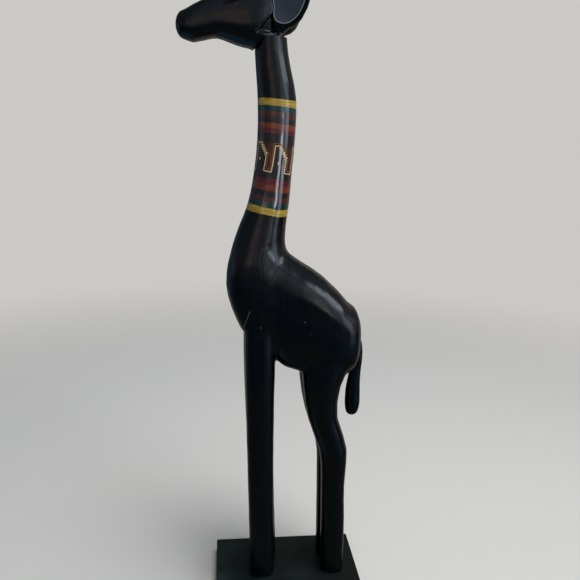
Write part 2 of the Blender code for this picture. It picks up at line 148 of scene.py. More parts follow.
def mesh_of(shape, name):
    """Turns a bmesh into a new mesh, and frees it."""
    mesh = bpy.data.meshes.new(name)
    shape.to_mesh(mesh)
    shape.free()
    return mesh


def split_big_faces(shape):
    bmesh.ops.triangulate(shape, faces=[face for face in shape.faces if len(face.verts) > 4])


def put_back(shape, mesh):
    split_big_faces(shape)
    shape.to_mesh(mesh)
    shape.free()


def skin_of(name, nodes, kind, joint=None, flat_move=None, lap_move=None):
    """One smooth closed mesh over the CAD solids of these nodes.

    The flat and the lapped faces at the neck's joint, whose height is given, are first drawn on past it,
    so that the skin can be cut off crisply there.
    """
    joined = bmesh.new()
    for node in nodes:
        joined.from_mesh(frame["nodes"][node].data)
    for vert in joined.verts if joint else ():
        on_flat = abs(vert.co.z - joint) < 1e-4 and vert.co.x > JAW_LAP_X - 1e-3
        on_lap = abs(vert.co.z - vert.co.x - joint + JAW_LAP_X) < 2e-4 and vert.co.x < JAW_LAP_X + 1e-3
        if on_flat:
            vert.co += flat_move
        elif on_lap:
            vert.co += lap_move
    mesh = mesh_of(joined, name)
    rough = new_object(name, mesh)
    remesh = rough.modifiers.new("voxels", "REMESH")
    remesh.mode = "VOXEL"
    remesh.voxel_size, smoothings = SKINS[kind]
    smooth = rough.modifiers.new("smooth", "SMOOTH")
    smooth.factor = 0.5
    smooth.iterations = smoothings
    graph = bpy.context.evaluated_depsgraph_get()
    skin = bpy.data.meshes.new_from_object(rough.evaluated_get(graph))
    skin.name = name
    bpy.data.objects.remove(rough)
    bpy.data.meshes.remove(mesh)
    return skin


def points_and_normals(mesh):
    points, normals = np.empty(len(mesh.vertices) * 3), np.empty(len(mesh.vertices) * 3)
    mesh.vertices.foreach_get("co", points)
    mesh.vertex_normals.foreach_get("vector", normals)
    return points.reshape(-1, 3), normals.reshape(-1, 3)


def set_points(mesh, points):
    mesh.vertices.foreach_set("co", points.ravel())
    mesh.update()


def surface_of(mesh):
    """A tree of the mesh's faces, for casting rays at it."""
    return BVHTree.FromPolygons([v.co for v in mesh.vertices], [face.vertices for face in mesh.polygons])


def refine(mesh, inside, cuts=1):
    """Splits the edges of the faces whose middles are inside, a test on an array of points."""
    shape = bmesh.new()
    shape.from_mesh(mesh)
    middles = np.array([face.calc_center_median() for face in shape.faces])
    chosen = inside(middles)
    edges = {edge for face, take in zip(shape.faces, chosen) if take for edge in face.edges}
    bmesh.ops.subdivide_edges(shape, edges=list(edges), cuts=cuts, use_grid_fill=True)
    put_back(shape, mesh)


def cut_at_joint(mesh, joint, keep_above):
    """Cuts a skin off at the joint of neck and head, and closes it again."""
    shape = bmesh.new()
    shape.from_mesh(mesh)
    corner = Vector((JAW_LAP_X, 0.0, joint))
    for normal in ((0.0, 0.0, 1.0), (-1.0, 0.0, 1.0)):
        parts = [*shape.verts, *shape.edges, *shape.faces]
        flat = Vector(normal).normalized()
        bmesh.ops.bisect_plane(shape, geom=parts, plane_co=corner, plane_no=flat, dist=1e-6)
    middles = [(face, face.calc_center_median() - corner) for face in shape.faces]
    wrong = [face for face, at in middles if (at.z < 0 and at.z < at.x) == keep_above]
    bmesh.ops.delete(shape, geom=wrong, context="FACES")
    rim = [edge for edge in shape.edges if edge.is_boundary]
    for vert in {vert for edge in rim for vert in edge.verts}:
        chipped = JOINT_CHIP_DEPTH * abs(noise.noise(vert.co / JOINT_CHIP_SIZE))
        vert.co.z += chipped if keep_above else -chipped
    bmesh.ops.holes_fill(shape, edges=rim, sides=0)
    put_back(shape, mesh)


def smoothstep(value, low, high):
    t = np.clip((value - low) / (high - low), 0.0, 1.0)
    return t * t * (3 - 2 * t)


def distance_to_path(points, path):
    """How far each point of an array of 2D points is from a path, and how far along the path it is."""
    best = np.full(len(points), 1e9)
    along = np.zeros(len(points))
    done = 0.0
    total = sum(math.dist(a, b) for a, b in zip(path, path[1:]))
    for start, end in zip(path, path[1:]):
        a, b = np.array(start), np.array(end)
        length = math.dist(start, end)
        t = np.clip((points - a) @ (b - a) / length**2, 0.0, 1.0)
        away = np.linalg.norm(points - a - t[:, None] * (b - a), axis=1)
        nearer = away < best
        best[nearer] = away[nearer]
        along[nearer] = (done + t[nearer] * length) / total
        done += length
    return best, along


def hump(value, rise_from, rise_to, fall_from, fall_to):
    return smoothstep(value, rise_from, rise_to) * (1 - smoothstep(value, fall_from, fall_to))


def dip(away, width):
    """A rounded dip's depth, from 1 in its middle to nearly 0 at twice its width."""
    return np.exp(-((away / width) ** 2))


def in_area(points, area):
    x_from, x_to, low, high = area
    x, height = points[:, 0], points[:, 2] - PLINTH_TOP
    return (x > x_from) & (x < x_to) & (height > low) & (height < high)


def ripple(points, size, amplitude, seed):
    """A smooth random height for each point, of about this wavelength."""
    offset = Vector((seed * 17.3, seed * 5.1, seed * 9.7))
    return amplitude * np.array([noise.noise(Vector(p) / size + offset) for p in points])


def finish_mesh(mesh, sharp_angle=50):
    mesh.shade_smooth()
    mesh.set_sharp_from_angle(angle=math.radians(sharp_angle))
    return mesh


def finish_shape(shape, name):
    """Turns a closed bmesh, whose faces may look either way, into a finished mesh."""
    bmesh.ops.recalc_face_normals(shape, faces=shape.faces)
    return finish_mesh(mesh_of(shape, name), sharp_angle=60)


def join_rings(shape, rings):
    """Adds the faces between each ring of vertices and the next."""
    for ring, after in zip(rings, rings[1:]):
        for k in range(len(ring)):
            shape.faces.new((ring[k - 1], ring[k], after[k], after[k - 1]))


def hoop(name, rings):
    """A closed hoop through rings of points, the last of which is joined to the first."""
    shape = bmesh.new()
    rings = [[shape.verts.new(point) for point in ring] for ring in rings]
    join_rings(shape, rings + rings[:1])
    return finish_shape(shape, name)


def piece(name, mesh, material, *nodes):
    """A finished piece, which stands for the CAD nodes named."""
    obj = new_object(name, mesh)
    mesh.materials.clear()
    mesh.materials.append(material)
    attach(obj, "root")
    if nodes:
        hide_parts(*nodes)


# --- Shader work ---


class Nodes:
    """Adds nodes to a tree; each method returns an output socket."""

    def __init__(self, tree):
        self.tree = tree

    def add(self, kind, inputs=(), **settings):
        node = self.tree.nodes.new(kind)
        for key, value in settings.items():
            setattr(node, key, value)
        for key, value in dict(inputs).items():
            self.put(node.inputs[key], value)
        return node

    def put(self, socket, value):
        if isinstance(value, bpy.types.NodeSocket):
            self.tree.links.new(value, socket)
        elif socket.type == "RGBA" and len(value) == 3:
            socket.default_value = (*value, 1.0)
        else:
            socket.default_value = value

    def math(self, operation, a, b=0.0, c=0.0):
        node = self.add("ShaderNodeMath", {0: a, 1: b, 2: c}, operation=operation)
        return node.outputs[0]

    def times(self, a, b):
        return self.math("MULTIPLY", a, b)

    def vector(self, operation, a, b=(0.0, 0.0, 0.0)):
        node = self.add("ShaderNodeVectorMath", {0: a, 1: b}, operation=operation)
        return node.outputs["Value" if operation in {"DISTANCE", "LENGTH", "DOT_PRODUCT"} else "Vector"]

    def axes(self, vector):
        return self.add("ShaderNodeSeparateXYZ", {0: vector}).outputs

    def join(self, x, y, z):
        return self.add("ShaderNodeCombineXYZ", {0: x, 1: y, 2: z}).outputs[0]

    def span(self, value, low, high, to_low=0.0, to_high=1.0, kind="SMOOTHSTEP"):
        ends = {"From Min": low, "From Max": high, "To Min": to_low, "To Max": to_high}
        node = self.add("ShaderNodeMapRange", {"Value": value, **ends}, interpolation_type=kind)
        return node.outputs["Result"]

    def mix(self, factor, a, b, blend="MIX"):
        node = self.add("ShaderNodeMix", data_type="RGBA", blend_type=blend)
        self.put(node.inputs[0], factor)
        self.put(node.inputs[6], a)
        self.put(node.inputs[7], b)
        return node.outputs[2]

    def noise(self, vector, scale, detail=2.0, roughness=0.5):
        values = {"Vector": vector, "Scale": scale, "Detail": detail, "Roughness": roughness}
        return self.add("ShaderNodeTexNoise", values).outputs["Fac"]

    def streaks(self, vector, stretch, detail, roughness=0.5):
        """Noise that is finest along the axis with the greatest stretch."""
        node = self.add("ShaderNodeMapping", {"Vector": vector, "Scale": stretch})
        return self.noise(node.outputs["Vector"], 1.0, detail, roughness)

    def stripes(self, factor, stops):
        """Plain colours, each from its own stop to the next."""
        node = self.add("ShaderNodeValToRGB", {"Fac": factor})
        ramp = node.color_ramp
        ramp.interpolation = "CONSTANT"
        while len(ramp.elements) < len(stops):
            ramp.elements.new(0.5)
        for element, (position, colour) in zip(ramp.elements, stops):
            element.position = position
            element.color = (*colour, 1.0)
        return node.outputs["Color"]

    def bump(self, height, strength, distance, normal=None):
        values = {"Height": height, "Strength": strength, "Distance": distance}
        if normal:
            values["Normal"] = normal
        return self.add("ShaderNodeBump", values).outputs["Normal"]


def new_material(name):
    material = bpy.data.materials.new(name)
    material.use_nodes = True
    nodes = Nodes(material.node_tree)
    shader = material.node_tree.nodes["Principled BSDF"]
    place = nodes.add("ShaderNodeTexCoord").outputs["Object"]
    return material, nodes, shader, place


def dress(nodes, shader, colour, roughness, normal):
    for socket, value in (("Base Color", colour), ("Roughness", roughness), ("Normal", normal)):
        nodes.put(shader.inputs[socket], value)


# --- Lacquer and paints ---


def band_height(nodes, place):
    """The height of a point measured square to the tilted stripes, with a painter's wobble."""
    axes = nodes.axes(place)
    height = nodes.math("SUBTRACT", axes["Z"], PLINTH_TOP)
    below = nodes.math("SUBTRACT", BAND_TILT_HEIGHT, height)
    tilt = nodes.math("MULTIPLY_ADD", below, BAND_TILT_GROWTH, BAND_TILT)
    ahead = nodes.math("SUBTRACT", nodes.math("MINIMUM", axes["X"], BAND_BEND_X), BAND_X)
    behind = nodes.math("MAXIMUM", nodes.math("SUBTRACT", axes["X"], BAND_BEND_X), 0.0)
    kept = nodes.span(height, 0.628, 0.655, 0.10, 1.0)
    lean = nodes.times(nodes.math("MULTIPLY_ADD", behind, kept, ahead), tilt)
    wobble = nodes.math("SUBTRACT", nodes.noise(place, 90.0, 2.0), 0.5)
    level = nodes.math("ADD", height, lean)
    return nodes.math("MULTIPLY_ADD", wobble, BAND_WOBBLE, level)


def add_band(nodes, place):
    """The band's colour, a mask that is 1 on it, and the height of its brush strokes."""
    level = band_height(nodes, place)
    bottom = BAND_STRIPES[-1][0]
    share = nodes.span(level, bottom, BAND_TOP, kind="LINEAR")
    stops = []
    for lower_edge, paint in reversed(BAND_STRIPES):
        stops.append(((lower_edge - bottom) / (BAND_TOP - bottom), PAINTS[paint]))
    strokes = nodes.streaks(place, (60.0, 60.0, 900.0), 3.0, 0.6)
    thin = nodes.span(strokes, 0.35, 0.75)
    colour = nodes.mix(thin, nodes.stripes(share, stops), (0.35, 0.30, 0.28), "MULTIPLY")
    inside = nodes.math("GREATER_THAN", level, bottom)
    return colour, nodes.times(inside, nodes.math("LESS_THAN", level, BAND_TOP)), strokes


def joint_dust(nodes, place):
    """Where dust and dried glue show pale: in specks along the body's seam and along the neck's top."""
    axes = nodes.axes(place)
    foot, slope = seam_line()
    seam = nodes.math("MULTIPLY_ADD", nodes.math("SUBTRACT", axes["Z"], foot.z), slope, foot.x)
    off_seam = nodes.math("ABSOLUTE", nodes.math("SUBTRACT", axes["X"], seam))
    near_seam = nodes.span(off_seam, 0.0003, 0.0009, 1.0, 0.0)
    on_body = nodes.times(near_seam, nodes.math("GREATER_THAN", axes["Z"], foot.z - 0.03))
    dotted = nodes.span(nodes.noise(place, 650.0, 2.0, 0.7), 0.53, 0.66)
    off_joint = nodes.math("ABSOLUTE", nodes.math("SUBTRACT", axes["Z"], NECK_TOP))
    on_neck = nodes.math("GREATER_THAN", axes["X"], JAW_LAP_X)
    near_joint = nodes.times(on_neck, nodes.span(off_joint, 0.0006, 0.0022, 1.0, 0.0))
    chipped = nodes.span(nodes.noise(place, 420.0, 4.0, 0.7), 0.46, 0.60)
    seam_specks = nodes.times(on_body, dotted)
    return nodes.math("MAXIMUM", seam_specks, nodes.times(near_joint, chipped))


def near_path(nodes, place, path, near, far):
    """How near a point of the body is to a path, given as points of X and height: 1 up to the near distance
    from it and 0 past the far one."""
    axes = nodes.axes(place)
    flat = nodes.join(axes["X"], 0.0, axes["Z"])
    share = 0.0
    for (x0, z0), (x1, z1) in zip(path, path[1:]):
        start = Vector((x0, 0.0, z0 + PLINTH_TOP))
        run = Vector((x1 - x0, 0.0, z1 - z0))
        from_start = nodes.vector("SUBTRACT", flat, start)
        ahead = nodes.math("DIVIDE", nodes.vector("DOT_PRODUCT", from_start, run), run.length_squared)
        ahead = nodes.span(ahead, 0.0, 1.0, kind="LINEAR")
        foot = nodes.vector("MULTIPLY", nodes.join(ahead, ahead, ahead), run)
        away = nodes.vector("DISTANCE", from_start, foot)
        share = nodes.math("MAXIMUM", share, nodes.span(away, near, far, 1.0, 0.0))
    return share


def chip_distance(nodes, place):
    """How far a point is outside the nearest chip in the lacquer, seen along Y."""
    axes = nodes.axes(place)
    flat = nodes.join(axes["X"], nodes.math("SIGN", axes["Y"]), axes["Z"])
    ragged = nodes.times(nodes.noise(place, 1500.0, 2.0), 0.0009)
    nearest = 1.0
    for x, height, radius in CHIPS:
        away = nodes.vector("DISTANCE", flat, (x, -1.0, PLINTH_TOP + height))
        nearest = nodes.math("MINIMUM", nearest, nodes.math("SUBTRACT", away, radius))
    return nodes.math("ADD", nearest, ragged)


def paint_body_highlights(nodes, place, colour, grain):
    """Painted highlights: paler lacquer along the lip of the body's crease, and a bright patch in the hollow
    of its shoulder.
    """
    # Painted highlight along the crease's lip, in the pale grey of worn edges.
    crease = nodes.times(near_path(nodes, place, CREASE, 0.0001, 0.0014), 0.6)
    colour = nodes.mix(crease, colour, WORN_AND_HIGHLIGHT_COLOUR)
    # Painted highlight: a bright patch in the shoulder's hollow, broken by the grain.
    hollow = nodes.times(near_path(nodes, place, HOLLOW_HIGHLIGHT_PATH, 0.0002, 0.0050), 0.50)
    return nodes.mix(nodes.times(hollow, nodes.span(grain, 0.30, 0.62)), colour, SHOULDER_HIGHLIGHT_COLOUR)


def lacquer(name, banded=False, worn_and_highlit=False, sheen_colour=None):
    """Black lacquer over dark wood: upright streaks of the grain, faint smears, sharp edges painted pale
    grey, partly for wear and partly as painted highlight, and a painted sheen of a given colour in place of
    reflected light.
    The banded one is the front block's own, with painted highlights on its crease and in its shoulder's
    hollow."""
    material, nodes, shader, place = new_material(name)
    grain = nodes.streaks(place, (420.0, 420.0, 13.0), 5.0, 0.65)
    smears = nodes.streaks(place, (60.0, 60.0, 16.0), 3.0, 0.55)
    undertone = nodes.mix(nodes.span(smears, 0.40, 0.72), *UNDERTONES)
    colour = nodes.mix(nodes.span(grain, 0.50, 0.80), undertone, GRAIN_COLOUR)
    # Painted sheen: the given colour laid over most of the surface in place of reflected light.
    if sheen_colour:
        sheen_share = nodes.span(nodes.noise(place, 55.0, 3.0, 0.5), 0.25, 0.75, 0.75, 1.0)
        colour = nodes.mix(sheen_share, colour, sheen_colour)
    chips = nodes.span(chip_distance(nodes, place), 0.0, 0.0004, 1.0, 0.0)
    colour = nodes.mix(chips, colour, CHIP_COLOUR)
    # Sharp edges painted pale grey: partly wear, partly painted highlight along the edges.
    if worn_and_highlit:
        sharp = nodes.span(nodes.add("ShaderNodeNewGeometry").outputs["Pointiness"], 0.53, 0.59)
        patchy = nodes.span(nodes.noise(place, 240.0, 3.0), 0.25, 0.60)
        colour = nodes.mix(nodes.times(sharp, patchy), colour, WORN_AND_HIGHLIGHT_COLOUR)
    colour = nodes.mix(joint_dust(nodes, place), colour, DUST_COLOUR)
    smudges = nodes.noise(place, 75.0, 4.0, 0.6)
    roughness = nodes.span(smudges, 0.3, 0.75, 0.19, 0.28, "LINEAR")
    height = nodes.times(grain, 0.6)
    if banded:
        paint, mask, strokes = add_band(nodes, place)
        colour = nodes.mix(mask, paint_body_highlights(nodes, place, colour, grain), paint)
        gloss = nodes.span(smudges, 0.3, 0.75, 0.10, 0.15, "LINEAR")
        mixed = nodes.add("ShaderNodeMix", {0: mask, 2: roughness, 3: gloss}, data_type="FLOAT")
        roughness = mixed.outputs[0]
        height = nodes.math("MULTIPLY_ADD", mask, nodes.math("MULTIPLY_ADD", strokes, 1.3, 0.2), height)
        thick = near_path(nodes, place, THICK_VARNISH, 0.0016, 0.0062)
        varnish = nodes.math("MULTIPLY_ADD", thick, 1 - THIN_VARNISH, THIN_VARNISH)
        nodes.put(shader.inputs["Coat Weight"], nodes.times(mask, varnish))
        nodes.put(shader.inputs["Specular IOR Level"], nodes.span(mask, 0.0, 1.0, 0.5, 0.3, "LINEAR"))
        shader.inputs["Coat Roughness"].default_value = 0.08
        shader.inputs["Coat IOR"].default_value = 2.2
    normal = nodes.bump(height, 0.30, 0.00022)
    waves = nodes.noise(place, 150.0, 2.0)
    dress(nodes, shader, colour, roughness, nodes.bump(waves, 0.08, 0.0006, normal))
    shader.inputs["IOR"].default_value = 1.5
    return material


def enamel(name, paint):
    """Thick hand-painted enamel under the band's varnish."""
    material, nodes, shader, place = new_material(name)
    flecks = nodes.noise(place, 700.0, 3.0, 0.6)
    darker = tuple(0.6 * channel for channel in PAINTS[paint])
    colour = nodes.mix(nodes.span(flecks, 0.35, 0.7), PAINTS[paint], darker)
    roughness = nodes.span(flecks, 0.3, 0.7, 0.18, 0.30)
    dress(nodes, shader, colour, roughness, nodes.bump(flecks, 0.25, 0.0002))
    return material


def plinth_paint():
    """Satin black paint, brushed along the board, cloudy and dusty, with painted light: lighter and bluer at
    the head's end of the board and darker at the tail's.
    """
    material, nodes, shader, place = new_material("plinth_paint")
    brush = nodes.streaks(place, (14.0, 420.0, 420.0), 4.0, 0.6)
    dust = nodes.noise(place, 900.0, 2.0)
    clouds = nodes.noise(place, 18.0, 3.0)
    along = nodes.axes(place)["X"]
    low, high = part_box("plinth")
    # Painted light: the board is lighter and bluer towards the head's end and darker towards the tail's, as
    # if lit from that side.
    painted_light_towards_head = nodes.mix(nodes.span(along, low.x, high.x), (0.0160, 0.0240, 0.0240), (0.0074, 0.0084, 0.0078))
    colour = nodes.mix(nodes.span(clouds, 0.35, 0.7), (0.0042, 0.0058, 0.0055), painted_light_towards_head)
    colour = nodes.mix(nodes.span(dust, 0.72, 0.80), colour, (0.05, 0.048, 0.045))
    roughness = nodes.span(clouds, 0.3, 0.7, 0.36, 0.46, "LINEAR")
    dress(nodes, shader, colour, roughness, nodes.bump(brush, 0.25, 0.0003))
    shader.inputs["Specular IOR Level"].default_value = 0.3
    return material


def streaked(name, stretch, detail, colours, rough, bump):
    """A bare material with fine streaks, of two colours and degrees of roughness."""
    material, nodes, shader, place = new_material(name)
    streaks = nodes.streaks(place, stretch, detail)
    roughness = nodes.span(streaks, 0.3, 0.7, *rough)
    dress(nodes, shader, nodes.mix(streaks, *colours), roughness, nodes.bump(streaks, *bump))
    return material


def dowel_wood():
    fibres = (0.60, 0.42, 0.24), (0.36, 0.22, 0.11)
    return streaked("dowel_wood", (900.0, 900.0, 60.0), 4.0, fibres, (0.55, 0.75), (0.4, 0.0002))


def screw_steel():
    greys = (0.62, 0.62, 0.60), (0.42, 0.42, 0.42)
    steel = streaked("screw_steel", (3000.0, 3000.0, 200.0), 3.0, greys, (0.28, 0.45), (0.2, 0.0001))
    steel.node_tree.nodes["Principled BSDF"].inputs["Metallic"].default_value = 1.0
    return steel


# --- Body ---

# Marks of the carver's tools on the side towards -Y, as points of X and height; the far side gets the same
# ones, and its own small gouges besides
GOUGES = [
    ((-0.0291, 0.5446), (-0.0375, 0.5383), (-0.0413, 0.5306), (-0.0449, 0.5210), (-0.0478, 0.5084)),
    ((-0.0190, 0.5370), (-0.0288, 0.5290), (-0.0348, 0.5196), (-0.0392, 0.5085), (-0.0429, 0.4813)),
]
GOUGE_DEPTH, GOUGE_WIDTH = 0.00036, 0.00042
SMALL_GOUGES = 11

# A fold across the neck's root, a hollow beside it, and a crease where the front leg meets the chest
NECK_FOLD = ((-0.0631, 0.5644), (-0.0587, 0.5623), (-0.0492, 0.5575), (-0.0383, 0.5588), (-0.0225, 0.5699))
NECK_FOLD_DEPTH, NECK_FOLD_WIDTH = 0.0004, 0.0055
SHOULDER_HOLLOW = (-0.0270, 0.5330)
HOLLOW_DEPTH, HOLLOW_WIDTH = 0.0004, 0.012
CREASE = ((-0.0699, 0.4632), (-0.0720, 0.4555), (-0.0749, 0.4477), (-0.0778, 0.4353))
CREASE_LIP, CREASE_LIP_WIDTH = 0.0008, 0.0010
CREASE_DEPTH, CREASE_WIDTH = 0.0020, 0.0060

# The saddle of neck and barrel, which is eased into a round hollow
SADDLE, SADDLE_REACH, SADDLE_ROUNDS = (-0.0140, 0.5360), 0.048, 140

# Where a highlight is painted in the shoulder's hollow, and where the band's varnish is thick
HOLLOW_HIGHLIGHT_PATH = ((-0.0412, 0.5508), (-0.0388, 0.5462), (-0.0352, 0.5404))
THICK_VARNISH = ((-0.0254, 0.7530), (-0.0280, 0.6600), (-0.0345, 0.6200))
THIN_VARNISH = 0.28

# Where the body's skin gets finer for its marks: X from and to, and height from and to
HOLLOW_AREA = (-0.068, -0.012, 0.475, 0.572)
CREASE_AREA = (-0.086, -0.058, 0.425, 0.475)

# The glued seam: the height where the legs part below it, and how far the edges beside it are set back
CROTCH_HEIGHT = 0.368
SEAM_SET_BACK, SEAM_ROUNDING = 0.00022, 0.00025


def seam_line():
    """The seam runs through the middles of its two dowels: a point on it, and X per height."""
    lower, upper = (sum(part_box(node), Vector()) / 2 for node in ("seam_dowel_lower", "seam_dowel_upper"))
    return lower, (upper.x - lower.x) / (upper.z - lower.z)


def gouge_paths(rng):
    """The strokes of a small gouge in the hollow between neck and barrel, each with its depth."""
    paths = [(path, GOUGE_DEPTH) for path in GOUGES]
    for k in range(SMALL_GOUGES):
        x = -0.0625 + 0.0015 * k + rng.uniform(-0.0005, 0.0005)
        top, length = 0.556 - rng.uniform(0.0, 0.014), rng.uniform(0.014, 0.038)
        path = [(x + 0.002, top), (x, top - length / 2), (x - 0.0015, top - length)]
        paths.append((path, rng.uniform(0.00012, 0.00026)))
    return paths


def ease(mesh, centre, reach, rounds):
    """Rounds off the skin near a place, given as X and height, by moving each point towards its
    neighbours' middle."""
    points, _ = points_and_normals(mesh)
    flat = np.stack([points[:, 0], points[:, 2] - PLINTH_TOP], axis=1)
    away = np.linalg.norm(flat - np.array(centre), axis=1)
    near = np.flatnonzero(away < reach)
    order = np.full(len(points), -1)
    order[near] = np.arange(len(near))
    ends = np.empty(len(mesh.edges) * 2, dtype=np.int64)
    mesh.edges.foreach_get("vertices", ends)
    ends = order[ends.reshape(-1, 2)]
    ends = ends[(ends >= 0).all(axis=1)]
    first, second = np.concatenate([ends, ends[:, ::-1]]).T
    count = np.maximum(np.bincount(first, minlength=len(near)), 1)
    weight = 0.5 * (1 - smoothstep(away[near], reach * 0.45, reach * 0.95))
    moved = points[near]
    for _ in range(rounds):
        middle = np.stack(
            [np.bincount(first, moved[second, axis], len(near)) / count for axis in range(3)], axis=1
        )
        moved += weight[:, None] * (middle - moved)
    points[near] = moved
    set_points(mesh, points)


def carve_body(mesh):
    def marked(points):
        beside = abs(points[:, 1]) > 0.022
        joint = points[:, 2] > NECK_TOP - 0.004
        return ((in_area(points, HOLLOW_AREA) | in_area(points, CREASE_AREA)) & beside) | joint

    ease(mesh, SADDLE, SADDLE_REACH, SADDLE_ROUNDS)
    refine(mesh, marked, cuts=2)
    points, normals = points_and_normals(mesh)
    height = points[:, 2] - PLINTH_TOP
    depth = ripple(points, 0.030, 0.00035, 1) + ripple(points, 0.011, 0.00008, 2)
    flat = np.stack([points[:, 0], height], axis=1)
    for side, seed in ((-1, 3), (1, 4)):
        here = (points[:, 1] * side > 0.015) & (abs(height - 0.53) < 0.06)
        away, along = distance_to_path(flat[here], NECK_FOLD)
        depth[here] -= NECK_FOLD_DEPTH * hump(along, 0.0, 0.45, 0.45, 1.0) * dip(away, NECK_FOLD_WIDTH)
        away = np.linalg.norm(flat[here] - np.array(SHOULDER_HOLLOW), axis=1)
        depth[here] -= HOLLOW_DEPTH * dip(away, HOLLOW_WIDTH)
        for path, deep in gouge_paths(random.Random(seed)):
            away, along = distance_to_path(flat[here], path)
            depth[here] -= deep * hump(along, 0.0, 0.15, 0.65, 1.0) * dip(away, GOUGE_WIDTH)
    here = (points[:, 0] < -0.050) & (abs(height - 0.45) < 0.04)
    away, along = distance_to_path(flat[here], CREASE)
    fade = hump(along, 0.0, 0.25, 0.85, 1.0)
    crease_x = np.interp(height[here], [z for _, z in reversed(CREASE)], [x for x, _ in reversed(CREASE)])
    behind = (flat[here, 0] - crease_x) > 0
    step = np.where(behind, np.exp(-away / CREASE_WIDTH) * smoothstep(away, 0.0, 0.0012), 0.0)
    depth[here] += fade * (CREASE_LIP * dip(away, CREASE_LIP_WIDTH) - CREASE_DEPTH * step)
    set_points(mesh, points + depth[:, None] * normals)


def part_at_seam(mesh):
    """Cuts the body's skin at the glued seam into a front mesh and a rear mesh, each closed again."""
    foot, slope = seam_line()
    legs_apart = (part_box("foot_screw_front_right")[1].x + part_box("foot_screw_hind_right")[0].x) / 2
    crotch = PLINTH_TOP + CROTCH_HEIGHT
    low = foot + Vector((slope, 0.0, 1.0)) * (crotch - foot.z)
    along = Vector((slope, 0.0, 1.0)).normalized()
    across = Vector((along.z, 0.0, -along.x))
    whole = bmesh.new()
    whole.from_mesh(mesh)
    faces = [face for face in whole.faces if face.calc_center_median().z > crotch]
    edges = {edge for face in faces for edge in face.edges}
    verts = {vert for face in faces for vert in face.verts}
    bmesh.ops.bisect_plane(whole, geom=[*verts, *edges, *faces], plane_co=low, plane_no=across, dist=1e-6)
    whole.to_mesh(mesh)
    whole.free()

    def is_rear(face):
        middle = face.calc_center_median()
        return (middle - low).dot(across) > 0 if middle.z > crotch else middle.x > legs_apart

    halves = []
    for name, keep_rear in (("front_block_skin", False), ("rear_block_skin", True)):
        half = bmesh.new()
        half.from_mesh(mesh)
        wrong = [face for face in half.faces if is_rear(face) != keep_rear]
        bmesh.ops.delete(half, geom=wrong, context="FACES")
        rim = [edge for edge in half.edges if edge.is_boundary]
        rim_points = {vert for edge in rim for vert in edge.verts}
        set_back = across * (SEAM_SET_BACK if keep_rear else -SEAM_SET_BACK)
        for vert in rim_points:
            vert.co += set_back - vert.normal * SEAM_ROUNDING
        bmesh.ops.holes_fill(half, edges=rim, sides=0)
        split_big_faces(half)
        halves.append(finish_mesh(mesh_of(half, name)))
    return halves


def make_body(banded, plain):
    """The front block in the banded lacquer and the rear one in the plain. Returns their surface."""
    upwards = Vector((0.0, 0.0, JOINT_STRETCH))
    skin = skin_of("body", ["front_block", "rear_block"], "body", NECK_TOP, upwards, upwards)
    carve_body(skin)
    cut_at_joint(skin, NECK_TOP, keep_above=False)
    surface = surface_of(skin)
    front, rear = part_at_seam(skin)
    piece("front_block_skin", front, banded, "front_block")
    piece("rear_block_skin", rear, plain, "rear_block")
    return surface


# --- Painted motif ---

# Each repeat of the fret: its share of the way round, the height of its peak, and how far down its foot is
MOTIF_REPEATS = [
    (1.000, 0.7050, 0.0398),
    (1.030, 0.7022, 0.0360),
    (0.990, 0.7030, 0.0392),
    (1.000, 0.7044, 0.0400),
    (0.985, 0.7036, 0.0388),
    (0.995, 0.7048, 0.0404),
]
MOTIF_START = -0.0332
MOTIF_HEIGHT = 0.685
MOTIF_LINE = 0.0015
MOTIF_PROUD = 0.00014

# A painted line's section, as shares of half its width and of how proud it is
LINE_SECTION = ((-1.0, -1.0), (-1.0, 0.35), (-0.6, 1.0), (0.6, 1.0), (1.0, 0.35), (1.0, -1.0))

# The painted ground's left edge, as shares of its height and places round the neck, and its right edge
FIELD_LEFT = ((0.0, 0.0115), (0.45, 0.0215), (1.0, 0.0199))
FIELD_RIGHT = 0.0274


class Neck:
    """Places on the neck's surface, from a distance round it and a height."""

    def __init__(self, surface):
        self.surface = surface
        angles = np.linspace(-math.pi, math.pi, 241)
        ring = [self.cast(angle, PLINTH_TOP + MOTIF_HEIGHT)[0] for angle in angles]
        steps = [0.0] + [(b - a).length for a, b in zip(ring, ring[1:])]
        self.angles = angles
        self.arc = np.cumsum(steps)
        self.arc -= np.interp(0.0, angles, self.arc)
        self.length = float(self.arc[-1] - self.arc[0])

    def middle(self, height):
        """The neck's middle in X at a height, from where rays along X enter and leave it."""
        hits = []
        for x, direction in ((-0.3, 1), (0.3, -1)):
            hits.append(self.surface.ray_cast(Vector((x, 0.0, height)), Vector((direction, 0.0, 0.0)))[0].x)
        return sum(hits) / 2

    def cast(self, angle, height):
        """Angle 0 looks along -Y from the neck's middle, and a positive one turns towards +X."""
        outward = Vector((math.sin(angle), -math.cos(angle), 0.0))
        start = Vector((self.middle(height), 0.0, height)) + outward * 0.2
        point, normal, _, _ = self.surface.ray_cast(start, -outward)
        return point, normal

    def at(self, around, height):
        """The surface's point and normal at a distance round it and a height along the tilted stripes."""
        around = (around + self.length / 2) % self.length - self.length / 2
        angle = float(np.interp(around, self.arc, self.angles))
        level = PLINTH_TOP + height
        guess = self.cast(angle, level)[0]
        tilt = BAND_TILT + BAND_TILT_GROWTH * (BAND_TILT_HEIGHT - height)
        return self.cast(angle, level - tilt * (guess.x - BAND_X))


